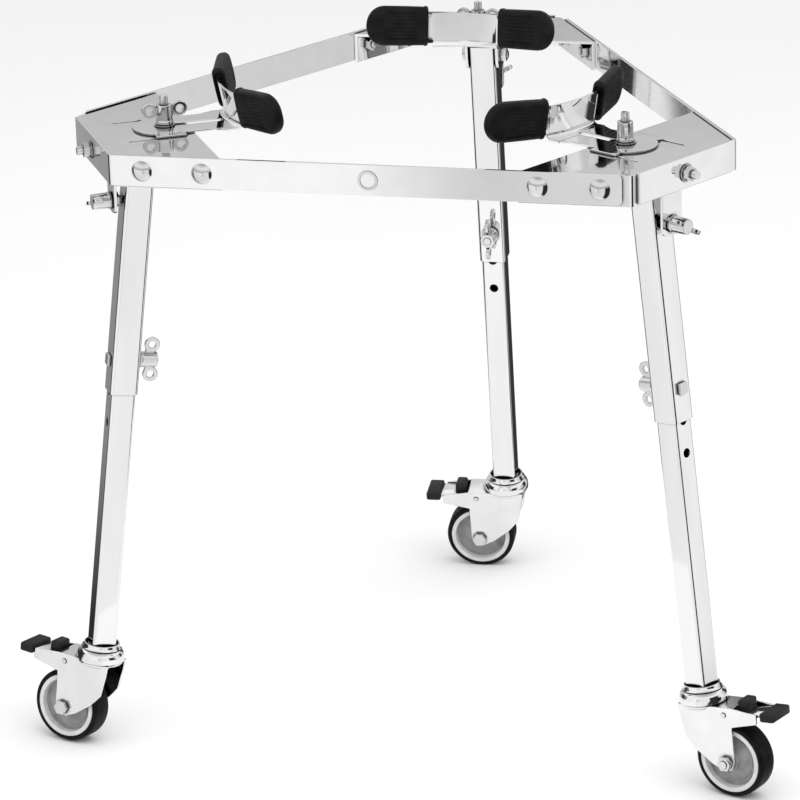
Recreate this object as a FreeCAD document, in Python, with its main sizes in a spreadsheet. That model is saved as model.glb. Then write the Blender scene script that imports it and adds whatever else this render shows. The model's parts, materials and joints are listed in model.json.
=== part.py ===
import FreeCAD, Part
import math
import os
import re

import Sketcher

# A three-legged rolling stand for a conga drum.
# The origin is on the floor under the middle of the frame. Corner "right" points to azimuth -30
# degrees, "back" to 90 and "left" to 210. Each corner's own frame has +X outward, +Y along the
# short side (anticlockwise from above) and +Z up.

DIMENSIONS = {
    "long_side": 506.0,         # outer length of a long side of the frame
    "short_side": 152.0,        # outer length of a short side
    "frame_top": 637.0,         # height of the bars' top edge above the floor
    "bar_height": 30.0,
    "bar_thick": 3.5,
    "bar_bend": 6.0,            # outer radius of a bar's bend
    "bar_gap": 11.0,            # from a bar's end to the corner it stops short of
    "plate_thick": 3.0,
    "plate_drop": 1.5,          # corner plate's top face below the bars' top edge
    "plate_inner": 239.0,       # the corner plate's inner edge, from the middle of the frame
    "flange_depth": 32.0,       # corner plate's flanges, down from the bars' top edge
    "slot_offset": 34.5,        # a guide slot's distance from the corner's centre line
    "slot_width": 3.8,
    "slot_start": 248.0,
    "slot_end": 306.0,
    "bolt_near": 32.0,          # frame bolts, from the end of a long side
    "bolt_far": 91.0,
    "bolt_radius": 4.0,         # shank of every bolt and stud
    "line_start": 8.0,          # a bolt line's start, in from the bar's outer face
    "running_gap": 0.05,        # radial play of a turning shank
    "nut_radius": 7.5,          # hexagon nut or head, centre to corner
    "nut_height": 6.5,
    "head_height": 5.3,
    "dome_ball": 13.0,          # radius of the ball that a domed head is part of
    "washer_thick": 1.6,
    "small_washer": 8.5,
    "big_washer": 10.0,
    "wing_foot": 8.5,           # radius of a wing nut's foot
    "wing_foot_thick": 3.0,
    "wing_hub_low": 8.0,
    "wing_hub_high": 7.5,
    "wing_hub_height": 19.0,
    "wing_reach": 15.2,         # a wing's ring, from the nut's axis
    "wing_rise": 13.5,          # a wing's ring, above the nut's foot
    "wing_ring": 7.6,
    "wing_eye": 3.6,
    "wing_thick": 3.6,
    "stem_reach": 9.0,          # middle of the web that joins a wing to its hub
    "stem_side": 8.0,
    "badge_inner": 7.5,
    "badge_outer": 9.5,
    "badge_thick": 0.8,
    "pivot_drop": 32.0,         # leg pivot below the bars' top edge
    "leg_reach": 285.5,         # leg axis from the middle of the frame, at the bars' top edge
    "splay": 7.2,               # lean of a leg, degrees
    "sleeve_side": 28.0,
    "sleeve_bore": 25.0,
    "sleeve_above": 12.0,       # sleeve above the pivot
    "sleeve_below": 235.0,      # sleeve below the pivot
    "inner_side": 24.4,
    "inner_bore": 20.8,
    "inner_overlap": 135.0,     # inner tube inside the sleeve
    "inner_below": 505.75,      # inner tube's bottom below the pivot
    "hole_pitch": 32.5,
    "hole_radius": 4.6,
    "clamp_up": 33.0,           # clamp screw above the sleeve's bottom
    "clamp_head": 11.0,         # side of the clamp screw's square head
    "clamp_head_thick": 3.5,
    "clamp_thread": 20.0,       # clamp screw's thread, out from the sleeve's inner side
    "lug_thick": 3.0,
    "lug_inside": 14.6,         # half the space between a bracket's lugs
    "lug_radius": 16.0,
    "tongue_face": 316.0,       # tongue's inner face from the middle of the frame
    "tongue_width": 28.0,
    "tongue_drop": 80.0,        # tongue's bottom below the bars' top edge
    "lock_drop": 68.0,          # locking screw below the bars' top edge
    "lock_nut_height": 4.0,
    "stud_reach": 262.0,
    "stud_above": 30.0,         # stud above the strap
    "strap_thick": 2.5,
    "strap_width": 56.0,
    "strap_end": 31.0,          # radius of the strap's round end
    "strap_slot": 8.6,
    "cradle_reach": 190.0,      # cradle's upright face from the middle of the frame
    "cradle_width": 68.5,
    "cradle_height": 33.0,
    "cradle_lean": 11.0,        # degrees that the upright leans outward
    "cradle_wrap": 21.0,        # degrees that each arm turns inward
    "neck_start": 14.0,         # where the strap narrows, from the upright's face
    "neck_end": 30.0,
    "slot_lead": 13.0,          # solid strap between the upright's face and the slot
    "arm_root": 2.0,            # length of an arm inside the upright
    "arm_length": 54.0,
    "arm_height": 27.0,
    "arm_low": 6.0,             # arm's lower edge above the corner plate
    "cap_start": 4.0,           # cap's mouth from the end of the upright
    "cap_length": 63.5,
    "cap_height": 41.0,
    "cap_thick": 13.5,
    "cap_low": 3.0,             # cap's lower edge above the corner plate
    "tab_start": 249.0,
    "tab_length": 30.0,
    "tab_width": 9.4,
    "tab_depth": 3.0,           # tab's reach below the corner plate
    "wheel_radius": 37.5,
    "wheel_width": 25.0,
    "wheel_trail": 30.0,
    "wheel_drop": 73.0,         # wheel's axle below the caster cup's top
    "rim_radius": 31.0,
    "cup_radius": 24.0,
    "cup_height": 16.0,
    "fork_inside": 29.4,
    "fork_wall": 2.5,
    "fork_gap": 0.4,            # between the cup and the fork
    "kingpin": 6.0,
    "kingpin_flange": 8.0,
    "pedal_reach": 88.0,        # pedal's tip from the swivel axis
    "pedal_drop": 24.0,         # pedal's pin below the cup's top
    "pedal_pin": 2.5,           # radius of the pedal's pin
    "tread_length": 16.5,
    "tread_width": 34.0,
    "tread_height": 10.0,
    "tab_height": 14.5,
}

# Each corner's name, its azimuth and the way its caster points, both in degrees.
CORNERS = [("right", -30.0, 8.0), ("back", 90.0, 93.0), ("left", 210.0, -48.0)]

# Degrees that the wings are left turned, on each corner's cradle nut and locking screw.
NUT_ROLLS = {"right": -47, "back": 90, "left": 0}
LOCK_ROLLS = {"right": 60, "back": 60, "left": 110}

DOC = FreeCAD.newDocument("conga_stand")
SHEET = DOC.addObject("Spreadsheet::Sheet", "Dims")
SUBPARTS = []


def fill_sheet():
    for row, (name, size) in enumerate(DIMENSIONS.items(), start=1):
        SHEET.set(f"A{row}", name)
        SHEET.set(f"B{row}", str(size))
        SHEET.setAlias(f"B{row}", name)
    DOC.recompute()


def dims(text):
    """The formula, with every driving dimension's name pointed at the sheet."""
    def pointed(match):
        word = match.group()
        return f"Dims.{word}" if word in DIMENSIONS else word
    return re.sub(r"[a-z_]+", pointed, text)


def size_of(text):
    """What a formula of the driving dimensions comes to now."""
    return float(SHEET.evalExpression(dims(str(text))))


def vector(x, y, z):
    return FreeCAD.Vector(size_of(x), size_of(y), size_of(z))


def shift(x=0, y=0, z=0):
    return FreeCAD.Placement(vector(x, y, z), FreeCAD.Rotation())


def turn(axis, degrees):
    axes = {"x": (1, 0, 0), "y": (0, 1, 0), "z": (0, 0, 1)}
    rotation = FreeCAD.Rotation(FreeCAD.Vector(*axes[axis]), size_of(degrees))
    return FreeCAD.Placement(FreeCAD.Vector(), rotation)


# Formulas that several sub-parts share.
CORNER_APEX = "(long_side + 2*short_side)/sqrt(3)"
SHORT_FACE = f"({CORNER_APEX} - short_side*cos(30))"
PLATE_TOP = "(frame_top - plate_drop)"
PLATE_UNDER = "(frame_top - plate_drop - plate_thick)"
PIVOT_REACH = "(leg_reach + pivot_drop*tan(splay))"
PIVOT_HEIGHT = "(frame_top - pivot_drop)"
BAR_MIDDLE = "(frame_top - bar_height/2)"


def corner_frame(azimuth):
    return turn("z", azimuth)


def leg_frame(azimuth):
    """At the leg's pivot, +Z up along the leg."""
    return corner_frame(azimuth) * shift(PIVOT_REACH, 0, PIVOT_HEIGHT) * turn("y", "-splay")


def leg_let_out(swivel):
    """How much further a leg is let out so that its wheel reaches the floor as the others do."""
    rise = size_of("wheel_trail*sin(splay)") * math.cos(math.radians(swivel))
    drop = size_of(f"{PIVOT_HEIGHT} - (inner_below + wheel_drop)*cos(splay) - wheel_radius")
    return (rise + drop) / size_of("cos(splay)")


def foot_frame(azimuth, swivel):
    """At the bottom of the inner tube, square with it."""
    return leg_frame(azimuth) * shift(0, 0, f"-inner_below - {leg_let_out(swivel)}")


def caster_frame(azimuth, swivel):
    """At the bottom of the inner tube, +X towards the side that the wheel trails to."""
    return foot_frame(azimuth, swivel) * turn("z", swivel)


# Features of PartDesign bodies.

def bind(feature, **formulas):
    for name, formula in formulas.items():
        feature.setExpression(name, dims(str(formula)))


def new_body(name):
    return DOC.addObject("PartDesign::Body", name)


def sketch_on(body, role):
    plane = next(item for item in body.Origin.OriginFeatures if item.Role == role)
    sketch = body.newObject("Sketcher::SketchObject", body.Name + "_sketch")
    sketch.AttachmentSupport = (plane, [""])
    sketch.MapMode = "FlatFace"
    return sketch


def fix_point(sketch, geometry, end, x, y):
    """Ties a point of the sketch to the formulas of its two coordinates."""
    for kind, formula in (("DistanceX", x), ("DistanceY", y)):
        rule = Sketcher.Constraint(kind, -1, 1, geometry, end, size_of(formula))
        number = sketch.addConstraint(rule)
        sketch.setExpression(f"Constraints[{number}]", dims(str(formula)))


def outline(sketch, corners):
    """A closed outline of straight lines through corners given as pairs of formulas."""
    first = sketch.GeometryCount
    points = [vector(x, y, 0) for x, y in corners]
    following = points[1:] + points[:1]
    sketch.addGeometry([Part.LineSegment(a, b) for a, b in zip(points, following)], False)
    for number, (x, y) in enumerate(corners):
        after = first + (number + 1) % len(corners)
        sketch.addConstraint(Sketcher.Constraint("Coincident", first + number, 2, after, 1))
        fix_point(sketch, first + number, 1, x, y)
    return sketch


def raise_sketch(sketch, height):
    sketch.setExpression("AttachmentOffset.Base.z", dims(str(height)))
    return sketch


def pad(body, sketch, length, midplane=False):
    feature = body.newObject("PartDesign::Pad", body.Name + "_pad")
    feature.Profile = sketch
    feature.Midplane = midplane
    bind(feature, Length=length)
    return feature


def pocket(body, sketch, length, midplane=False):
    """Cuts against the sketch's normal, and checks that it did cut."""
    DOC.recompute()
    before = body.Shape.Volume
    feature = body.newObject("PartDesign::Pocket", body.Name + "_pocket")
    feature.Profile = sketch
    feature.Midplane = midplane
    bind(feature, Length=length)
    DOC.recompute()
    if body.Shape.Volume > before - 1.0:
        raise RuntimeError(f"a pocket of {body.Label} cut nothing")
    return feature


def revolve(body, sketch):
    feature = body.newObject("PartDesign::Revolution", body.Name + "_revolution")
    feature.Profile = sketch
    feature.ReferenceAxis = (sketch, ["V_Axis"])
    feature.Angle = 360.0
    return feature


def block(body, kind, place, length, width, height):
    """A box centred on its frame in X and Y, with its bottom at the frame's origin."""
    feature = body.newObject(f"PartDesign::{kind}Box", body.Name + "_box")
    bind(feature, Length=length, Width=width, Height=height)
    feature.Placement = place * shift(f"-({length})/2", f"-({width})/2", 0)
    return feature


def rod(body, kind, place, radius, height):
    """A cylinder along its frame's +Z, from the frame's origin."""
    feature = body.newObject(f"PartDesign::{kind}Cylinder", body.Name + "_rod")
    bind(feature, Radius=radius, Height=height)
    feature.Placement = place
    return feature


def hexagon(body, place, radius, height):
    feature = body.newObject("PartDesign::AdditivePrism", body.Name + "_hexagon")
    feature.Polygon = 6
    bind(feature, Circumradius=radius, Height=height)
    feature.Placement = place
    return feature


def ring_of(body, place, inner, outer, height):
    rod(body, "Additive", place, outer, height)
    rod(body, "Subtractive", place, inner, height)


def fillet(body, radius, wanted):
    """Rounds the edges of the newest feature that the given test picks."""
    DOC.recompute()
    base = body.Tip
    names = [f"Edge{n}" for n, edge in enumerate(base.Shape.Edges, start=1) if wanted(edge)]
    feature = body.newObject("PartDesign::Fillet", body.Name + "_fillet")
    feature.Base = (base, names)
    bind(feature, Radius=radius)
    return feature


def runs_along(edge, axis):
    """Whether an edge is straight and parallel to an axis."""
    if edge.Curve.TypeId != "Part::GeomLine":
        return False
    direction = (edge.Vertexes[-1].Point - edge.Vertexes[0].Point).normalize()
    return abs(getattr(direction, axis)) > 0.999


def finish(item, label, place=None):
    item.Label = label
    if place is not None:
        item.Placement = place
    SUBPARTS.append(item)
    return item


def grouped(label, pieces):
    """One sub-part made of several separate solids."""
    group = DOC.addObject("Part::Compound", label + "_group")
    group.Links = pieces
    return finish(group, label)


# The frame: three bent bars, each covering one short side and the long side after it.

def frame_bar(name, azimuth):
    """The corner's short side and the long side that follows it anticlockwise."""
    body = new_body("frame_bar_" + name)
    start = "-(short_side/2 - 9)"
    run = "(long_side - bar_gap)"
    inner = f"({SHORT_FACE} - bar_thick)"
    corner = "(short_side/2 - bar_thick*tan(30))"
    end_x = f"({SHORT_FACE} - {run}*cos(30))"
    end_y = f"(short_side/2 + {run}*sin(30))"
    sketch = outline(sketch_on(body, "XY_Plane"), [
        (SHORT_FACE, start),
        (SHORT_FACE, "short_side/2"),
        (end_x, end_y),
        (f"{end_x} - bar_thick*sin(30)", f"{end_y} - bar_thick*cos(30)"),
        (inner, corner),
        (inner, start),
    ])
    raise_sketch(sketch, "frame_top - bar_height")
    pad(body, sketch, "bar_height")
    outer_x = size_of(SHORT_FACE) - 1.0
    bend_y = size_of("short_side/2") - 1.0

    def at_bend(edge, outside):
        point = edge.Vertexes[0].Point
        if not runs_along(edge, "z") or abs(point.y - bend_y) > 3.5:
            return False
        return (point.x > outer_x) == outside

    fillet(body, "bar_bend", lambda edge: at_bend(edge, True))
    fillet(body, "bar_bend - bar_thick", lambda edge: at_bend(edge, False))
    stop_y = size_of(end_y) - 3.6

    def at_end(edge):
        points = [vertex.Point for vertex in edge.Vertexes]
        flat = abs(points[0].z - points[-1].z) < 0.01
        short = (points[0] - points[-1]).Length < size_of("bar_thick") + 0.1
        return flat and short and min(point.y for point in points) > stop_y

    fillet(body, 5, at_end)
    rod(body, "Subtractive", short_bolt_line(), "bolt_radius", 10)
    for place in long_bolt_lines(1):
        rod(body, "Subtractive", place, "bolt_radius", 10)
    body.Placement = corner_frame(azimuth)
    return finish(body, "frame_bar_" + name)


def short_bolt_line():
    """Along the bolt through the middle of a short side, outward from inside the flange."""
    return shift(f"{SHORT_FACE} - line_start", 0, BAR_MIDDLE) * turn("y", 90)


def long_bolt_lines(side, both_ends=True):
    """Along the bolts of a corner's long side, outward, in the corner's frame.

    Side 1 is the long side that starts at this corner, with its far end's bolts where both_ends
    is true; side -1 is the one that ends here."""
    steps = ["bolt_near", "bolt_far"]
    if both_ends:
        steps += ["long_side - bolt_near", "long_side - bolt_far"]
    lines = []
    for step in steps:
        along = shift(f"{SHORT_FACE} - ({step})*cos(30)",
                      f"{side}*(short_side/2 + ({step})*sin(30))", BAR_MIDDLE)
        lines.append(along * turn("z", 60 * side) * turn("y", 90) * shift(0, 0, "-line_start"))
    return lines


def corner_plate(name, azimuth):
    """The pressed corner: a flat top with a flange down each of its three outer sides."""
    body = new_body("corner_plate_" + name)

    def trapezoid(inset, inner):
        apex = f"({CORNER_APEX} - 2*({inset}))"
        outer = f"({SHORT_FACE} - ({inset}))"
        half = f"({apex} - ({inner}))*tan(30)"
        half_outer = f"({apex} - {outer})*tan(30)"
        return [(inner, f"-{half}"), (outer, f"-{half_outer}"), (outer, half_outer), (inner, half)]

    height = "(flange_depth - plate_drop)"
    sketch = outline(sketch_on(body, "XY_Plane"), trapezoid("bar_thick", "plate_inner"))
    raise_sketch(sketch, "frame_top - flange_depth")
    pad(body, sketch, height)
    face_x = size_of(SHORT_FACE) - 10.0
    fillet(body, 5, lambda edge: runs_along(edge, "z") and edge.Vertexes[0].Point.x > face_x)
    hollow = outline(sketch_on(body, "XY_Plane"),
                     trapezoid("bar_thick + plate_thick", "plate_inner - 5"))
    raise_sketch(hollow, PLATE_UNDER)
    pocket(body, hollow, "flange_depth")
    for side in (-1, 1):
        slot = shift("(slot_start + slot_end)/2", f"{side}*slot_offset", f"{PLATE_UNDER} - 1")
        block(body, "Subtractive", slot, "slot_end - slot_start", "slot_width", "plate_thick + 2")
        for line in long_bolt_lines(side, both_ends=False):
            rod(body, "Subtractive", line, "bolt_radius", 10)
    rod(body, "Subtractive", short_bolt_line(), "bolt_radius", 10)
    stud_hole = shift("stud_reach", 0, f"{PLATE_UNDER} - 1")
    rod(body, "Subtractive", stud_hole, "bolt_radius", "plate_thick + 2")
    body.Placement = corner_frame(azimuth)
    return finish(body, "corner_plate_" + name)


def leg_bracket(name, azimuth):
    """Two lugs beside the leg, a tongue outside it and a foot under the corner plate."""
    body = new_body("leg_bracket_" + name)
    outside = "(lug_inside + lug_thick)"
    back = "(tongue_face + lug_thick)"
    front = "(tongue_face - 45)"
    sketch = outline(sketch_on(body, "XZ_Plane"), [
        (front, PLATE_UNDER),
        (back, PLATE_UNDER),
        (back, f"{PIVOT_HEIGHT} - 6"),
        (PIVOT_REACH, f"{PIVOT_HEIGHT} - 6"),
        (f"{PIVOT_REACH} - lug_radius", PIVOT_HEIGHT),
    ])
    pad(body, sketch, f"2*{outside}", midplane=True)
    boss = shift(PIVOT_REACH, outside, PIVOT_HEIGHT) * turn("x", 90)
    rod(body, "Additive", boss, "lug_radius", f"2*{outside}")
    room = shift("tongue_face - 50", 0, "frame_top - 100")
    room_height = f"{PLATE_UNDER} - lug_thick - frame_top + 100"
    block(body, "Subtractive", room, 100, "2*lug_inside", room_height)
    tongue = shift("tongue_face + lug_thick/2", 0, "frame_top - tongue_drop")
    block(body, "Additive", tongue, "lug_thick", "tongue_width", "tongue_drop - 25")
    low = size_of("frame_top - tongue_drop") + 0.1
    fillet(body, 9, lambda edge: runs_along(edge, "x") and edge.Vertexes[0].Point.z < low)
    rod(body, "Subtractive", boss, "bolt_radius", f"2*{outside}")
    lock = shift("tongue_face - 1", 0, "frame_top - lock_drop") * turn("y", 90)
    rod(body, "Subtractive", lock, "bolt_radius + running_gap", "lug_thick + 2")
    body.Placement = corner_frame(azimuth)
    return finish(body, "leg_bracket_" + name)


# Fasteners.

def dome_bolt(place):
    """A shank through the bar, the flange and the nut, with a low domed head outside."""
    body = new_body("dome_bolt")
    ball = body.newObject("PartDesign::AdditiveSphere", "dome_bolt_ball")
    bind(ball, Radius="dome_ball")
    block(body, "Subtractive", shift(0, 0, "line_start - 2*dome_ball"), "2*dome_ball + 2",
          "2*dome_ball + 2", "2*dome_ball")
    tail = "(bar_thick + plate_thick + nut_height + 1.5)"
    rod(body, "Additive", shift(0, 0, f"line_start - {tail}"), "bolt_radius", f"{tail} + 1")
    body.Placement = place
    return body


def hex_nut(place):
    body = new_body("hex_nut")
    hexagon(body, shift(), "nut_radius", "nut_height")
    rod(body, "Subtractive", shift(), "bolt_radius", "nut_height")
    body.Placement = place
    return body


def washer(place, outer):
    body = new_body("washer")
    ring_of(body, shift(), "bolt_radius", outer, "washer_thick")
    body.Placement = place
    return body


def hex_bolt(place, length):
    """Head below the frame's origin, shank up its +Z."""
    body = new_body("hex_bolt")
    rod(body, "Additive", shift(), "bolt_radius", length)
    hexagon(body, shift(0, 0, "-head_height"), "nut_radius", "head_height")
    body.Placement = place
    return body


FASTENERS = {
    "frame_bolts": [],
    "hex_nuts": [],
    "corner_bolts": [],
    "pivot_bolts": [],
    "flat_washers": [],
    "cradle_studs": [],
    "lock_nuts": [],
}


def long_side_fasteners(corner):
    """Domed bolts through the corner's two long sides, with their nuts inside."""
    nut_start = "line_start - bar_thick - plate_thick - nut_height"
    for side in (-1, 1):
        for line in long_bolt_lines(side, both_ends=False):
            FASTENERS["frame_bolts"].append(dome_bolt(corner * line))
            FASTENERS["hex_nuts"].append(hex_nut(corner * line * shift(0, 0, nut_start)))


def short_side_fasteners(corner):
    """The bolt through the short side, headed inside, with its washer and nut outside."""
    line = corner * short_bolt_line()
    bolt = hex_bolt(line * shift(0, 0, "line_start - bar_thick - plate_thick"), 21)
    FASTENERS["corner_bolts"].append(bolt)
    face = line * shift(0, 0, "line_start")
    FASTENERS["flat_washers"].append(washer(face, "small_washer"))
    FASTENERS["hex_nuts"].append(hex_nut(face * shift(0, 0, "washer_thick")))


def pivot_fasteners(corner):
    """The bolt that the leg folds on, across the bracket's lugs."""
    across = "2*(lug_inside + lug_thick)"
    pivot = corner * shift(PIVOT_REACH, f"{across}/2", PIVOT_HEIGHT) * turn("x", 90)
    FASTENERS["pivot_bolts"].append(hex_bolt(pivot, f"{across} + nut_height + 1.5"))
    FASTENERS["hex_nuts"].append(hex_nut(pivot * shift(0, 0, across)))


def cradle_fasteners(corner):
    """The stud that stands up through plate and strap, with a washer just above the strap."""
    stud = corner * shift("stud_reach", 0, PLATE_UNDER)
    FASTENERS["cradle_studs"].append(hex_bolt(stud, "plate_thick + strap_thick + stud_above"))
    above_strap = stud * shift(0, 0, "plate_thick + strap_thick + 0.3")
    FASTENERS["flat_washers"].append(washer(above_strap, "big_washer"))


def lock_nut(corner):
    """The nut on the tongue's inner face that the locking screw turns in."""
    body = new_body("lock_nut")
    hexagon(body, shift(), "nut_radius", "lock_nut_height")
    rod(body, "Subtractive", shift(), "bolt_radius + running_gap", "lock_nut_height")
    body.Placement = corner * shift("tongue_face", 0, "frame_top - lock_drop") * turn("y", -90)
    FASTENERS["lock_nuts"].append(body)


def frame_fasteners():
    for name, azimuth, swivel in CORNERS:
        corner = corner_frame(azimuth)
        long_side_fasteners(corner)
        short_side_fasteners(corner)
        pivot_fasteners(corner)
        cradle_fasteners(corner)
        lock_nut(corner)
    for label, pieces in FASTENERS.items():
        grouped(label, pieces)


def badge_ring():
    """A plain pressed ring in the middle of the front bar."""
    body = new_body("badge_ring")
    front_face = "-(long_side + 2*short_side)/(2*sqrt(3))"
    place = shift(0, front_face, BAR_MIDDLE) * turn("x", 90)
    ring_of(body, place, "badge_inner", "badge_outer", "badge_thick")
    return finish(body, "badge_ring")


# Wing nuts and wing bolts.

def wing_shape(body, roll=0):
    """A hub on its frame's +Z with a ringed wing on either side."""
    spin = turn("z", roll)
    rod(body, "Additive", shift(), "wing_foot", "wing_foot_thick")
    hub = body.newObject("PartDesign::AdditiveCone", body.Name + "_hub")
    bind(hub, Radius1="wing_hub_low", Radius2="wing_hub_high", Height="wing_hub_height")
    for side in (-1, 1):
        ring = spin * shift(f"{side}*wing_reach", "wing_thick/2", "wing_rise") * turn("x", 90)
        stem = spin * shift(f"{side}*stem_reach", 0, "wing_rise - stem_side*0.8")
        block(body, "Additive", stem, "stem_side", "wing_thick", "stem_side")
        rod(body, "Additive", ring, "wing_ring", "wing_thick")
        rod(body, "Subtractive", ring, "wing_eye", "wing_thick")


def wing_nut(label, place, roll=0):
    body = new_body(label)
    wing_shape(body, roll)
    rod(body, "Subtractive", shift(), "bolt_radius + running_gap", "wing_hub_height + 1")
    body.Placement = place
    return finish(body, label)


def lock_screw(name, azimuth):
    """The wing bolt through the tongue, its tip just short of the leg's face."""
    label = "lock_screw_" + name
    body = new_body(label)
    wing_shape(body, LOCK_ROLLS[name])
    leg_face = "(leg_reach + lock_drop*tan(splay) + sleeve_side/2/cos(splay))"
    head = "(tongue_face + lug_thick + 0.4)"
    length = f"({head} - {leg_face} - 0.9)"
    rod(body, "Additive", shift(0, 0, f"-{length}"), "bolt_radius", f"{length} + 2")
    head_frame = shift(head, 0, "frame_top - lock_drop") * turn("y", 90)
    body.Placement = corner_frame(azimuth) * head_frame
    return finish(body, label)


# Legs.

def square_tube(body, side, bore, bottom, height, outer_round, inner_round):
    block(body, "Additive", shift(0, 0, bottom), side, side, height)
    fillet(body, outer_round, lambda edge: runs_along(edge, "z"))
    DOC.recompute()
    half = size_of(bore) / 2
    block(body, "Subtractive", shift(0, 0, bottom), bore, bore, height)

    def inside(edge):
        point = edge.Vertexes[0].Point
        off = max(abs(abs(point.x) - half), abs(abs(point.y) - half))
        return runs_along(edge, "z") and off < 0.01

    fillet(body, inner_round, inside)


def leg_sleeve(name, azimuth):
    """The outer tube, which folds on the pivot bolt."""
    body = new_body("leg_sleeve_" + name)
    square_tube(body, "sleeve_side", "sleeve_bore", "-sleeve_below",
                "sleeve_below + sleeve_above", 3.5, 2)
    pivot = shift(0, "sleeve_side", 0) * turn("x", 90)
    rod(body, "Subtractive", pivot, "bolt_radius + running_gap", "2*sleeve_side")
    clamp = shift("-sleeve_side", 0, "clamp_up - sleeve_below") * turn("y", 90)
    rod(body, "Subtractive", clamp, "bolt_radius", "2*sleeve_side")
    body.Placement = leg_frame(azimuth)
    return finish(body, "leg_sleeve_" + name)


def inner_tube(name, azimuth, swivel):
    """The sliding tube, with a row of height holes through its radial walls."""
    body = new_body("inner_tube_" + name)
    extra = leg_let_out(swivel)
    square_tube(body, "inner_side", "inner_bore", f"-inner_below - {extra}",
                f"inner_below + {extra} - sleeve_below + inner_overlap", 3, 1.5)
    for step in range(-2, 3):
        height = f"clamp_up - sleeve_below + {step}*hole_pitch"
        hole = shift("-inner_side", 0, height) * turn("y", 90)
        rod(body, "Subtractive", hole, "hole_radius", "2*inner_side")
    body.Placement = leg_frame(azimuth)
    return finish(body, "inner_tube_" + name)


def clamp_screw(name, azimuth):
    """A square head outside and a threaded end inside, each let into the sleeve's wall."""
    frame = leg_frame(azimuth) * shift(0, 0, "clamp_up - sleeve_below")
    wall = "(sleeve_side - sleeve_bore)/2"
    outer = new_body("clamp_head")
    block(outer, "Additive", shift(), "clamp_head", "clamp_head", "clamp_head_thick")
    rod(outer, "Additive", shift(0, 0, f"-{wall}"), "bolt_radius", f"{wall} + 1")
    outer.Placement = frame * shift("sleeve_side/2", 0, 0) * turn("y", 90)
    stub = new_body("clamp_stub")
    rod(stub, "Additive", shift(0, 0, f"-{wall}"), "bolt_radius", f"{wall} + clamp_thread")
    stub.Placement = frame * shift("-sleeve_side/2", 0, 0) * turn("y", -90)
    return grouped("clamp_screw_" + name, [outer, stub])


# Cradles.

def cradle(name, azimuth):
    """A slotted strap that turns up into an upright with two arms."""
    body = new_body("cradle_" + name)
    top = f"({PLATE_TOP} + strap_thick)"
    lean = "tan(cradle_lean)"
    rise = "(cradle_height + strap_thick)"
    back_step = "(strap_thick/cos(cradle_lean))"
    profile = outline(sketch_on(body, "XZ_Plane"), [
        ("cradle_reach + neck_start + 4", PLATE_TOP),
        ("cradle_reach", PLATE_TOP),
        (f"cradle_reach + {rise}*{lean}", f"{PLATE_TOP} + {rise}"),
        (f"cradle_reach + {rise}*{lean} + {back_step}", f"{PLATE_TOP} + {rise}"),
        (f"cradle_reach + strap_thick*{lean} + {back_step}", top),
        ("cradle_reach + neck_start + 4", top),
    ])
    pad(body, profile, "cradle_width", midplane=True)
    bend_low = size_of(PLATE_TOP) + 0.01
    reach = size_of("cradle_reach")

    def at_bend(edge, x_low, x_high, z_low, z_high):
        point = edge.Vertexes[0].Point
        level = x_low < point.x - reach < x_high and z_low < point.z - bend_low < z_high
        return runs_along(edge, "y") and level

    fillet(body, 7, lambda edge: at_bend(edge, -0.5, 0.5, -1, 0.5))
    fillet(body, 4.5, lambda edge: at_bend(edge, 1, 6, 1.5, 4))
    neck = outline(sketch_on(body, "XY_Plane"), [
        ("cradle_reach + neck_start", "-cradle_width/2"),
        ("cradle_reach + neck_end", "-strap_width/2"),
        ("stud_reach", "-strap_width/2"),
        ("stud_reach", "strap_width/2"),
        ("cradle_reach + neck_end", "strap_width/2"),
        ("cradle_reach + neck_start", "cradle_width/2"),
    ])
    raise_sketch(neck, PLATE_TOP)
    pad(body, neck, "strap_thick")
    rod(body, "Additive", shift("stud_reach", 0, PLATE_TOP), "strap_end", "strap_thick")
    for side in (-1, 1):
        tab = shift("tab_start + tab_length/2", f"{side}*(slot_offset - 3)", PLATE_TOP)
        block(body, "Additive", tab, "tab_length", "tab_width", "strap_thick")
        low = f"{PLATE_UNDER} - tab_depth"
        drop = shift("tab_start + tab_length/2", f"{side}*slot_offset", low)
        block(body, "Additive", drop, "tab_length", "slot_width - 0.8",
              "plate_thick + tab_depth + strap_thick")
        arm = arm_frame(side) * arm_foot(side)
        block(body, "Additive", arm, "strap_thick", "arm_length", "arm_height")
    slot_length = "(stud_reach - cradle_reach - slot_lead)"
    slot = shift(f"stud_reach - {slot_length}/2", 0, f"{PLATE_TOP} - 1")
    block(body, "Subtractive", slot, slot_length, "strap_slot", "strap_thick + 2")
    for reach_to in ("stud_reach", f"stud_reach - {slot_length}"):
        end = shift(reach_to, 0, f"{PLATE_TOP} - 1")
        rod(body, "Subtractive", end, "strap_slot/2", "strap_thick + 2")
    body.Placement = corner_frame(azimuth)
    return finish(body, "cradle_" + name)


def arm_frame(side):
    """At an end of the upright, turned inward along its arm: +X through the arm's thickness."""
    lean = shift("cradle_reach", 0, PLATE_TOP) * turn("y", "cradle_lean")
    return lean * shift(0, f"{side}*cradle_width/2", 0) * turn("z", f"{side}*cradle_wrap")


def arm_foot(side):
    """The middle of an arm's lower edge, in its arm frame."""
    return shift("strap_thick/2", f"{side}*(arm_length/2 - arm_root)", "arm_low")


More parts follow.
